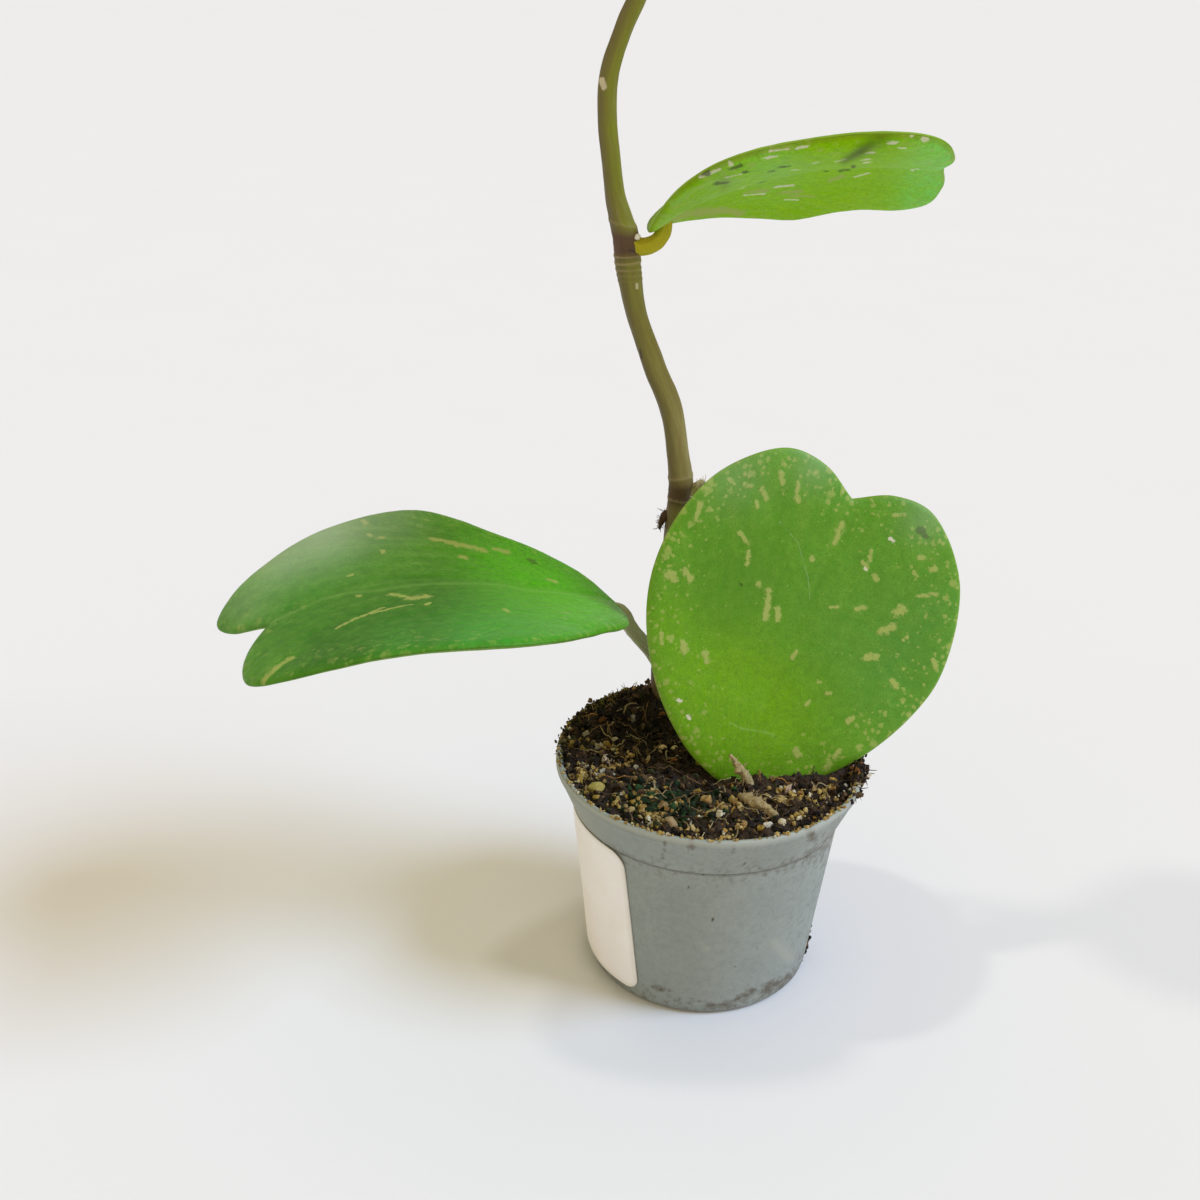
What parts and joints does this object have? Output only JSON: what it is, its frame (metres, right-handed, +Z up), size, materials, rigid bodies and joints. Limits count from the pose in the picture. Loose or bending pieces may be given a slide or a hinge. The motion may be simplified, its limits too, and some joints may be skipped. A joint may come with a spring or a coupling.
{
  "type": "potted hoya plant",
  "caption": "Small potted hoya: climbing stem with thick heart-shaped leaves, one leaf standing in the soil, in a round tapered nursery pot with a blank label.",
  "frame": {"origin": "centre of the pot's base, on the surface that the pot stands on", "axes": "+Z up along the pot's axis; the big standing leaf faces -Y, the low leaf reaches towards -X and the upper leaf towards +X"},
  "size_m": [0.14, 0.0732, 0.2085],
  "materials": {
    "pot_plastic": "matte moulded grey polypropylene, fine mottle",
    "label_paper": "smooth white label paper, blank",
    "soil": "moist dark crumbly potting mix with fibres and moss",
    "stem_skin": "olive-brown green stem, fine dots, satin",
    "leaf_front": "thick waxy leaf, mid green with pale flecks",
    "leaf_left": "thick waxy leaf, dark green, satin",
    "leaf_upper": "thick waxy leaf, bright yellow-green",
    "dry_stub": "dry pale plant tissue",
    "dark_root": "dark hairy root tissue",
    "pale_root": "dry fibrous root tissue",
    "bark": "rough bark crumb",
    "grit": "rough tan and ochre grit grains"
  },
  "bodies": {
    "root": {"nursery_pot": "pot_plastic", "pot_label": "label_paper", "potting_soil": "soil", "main_stem": "stem_skin", "leaf_front": "leaf_front", "leaf_left": "leaf_left", "leaf_upper": "leaf_upper", "old_leaf_stub": "dry_stub", "root_stub": "dark_root", "leaf_root": "pale_root", "rootlet_chunk": "pale_root", "bark_chip": "bark", "grit_01": "grit", "grit_02": "grit", "grit_03": "grit", "grit_04": "grit", "grit_05": "grit", "grit_06": "grit", "grit_07": "grit", "grit_08": "grit", "grit_09": "grit", "grit_10": "grit", "grit_11": "grit"}
  },
  "joints": []
}
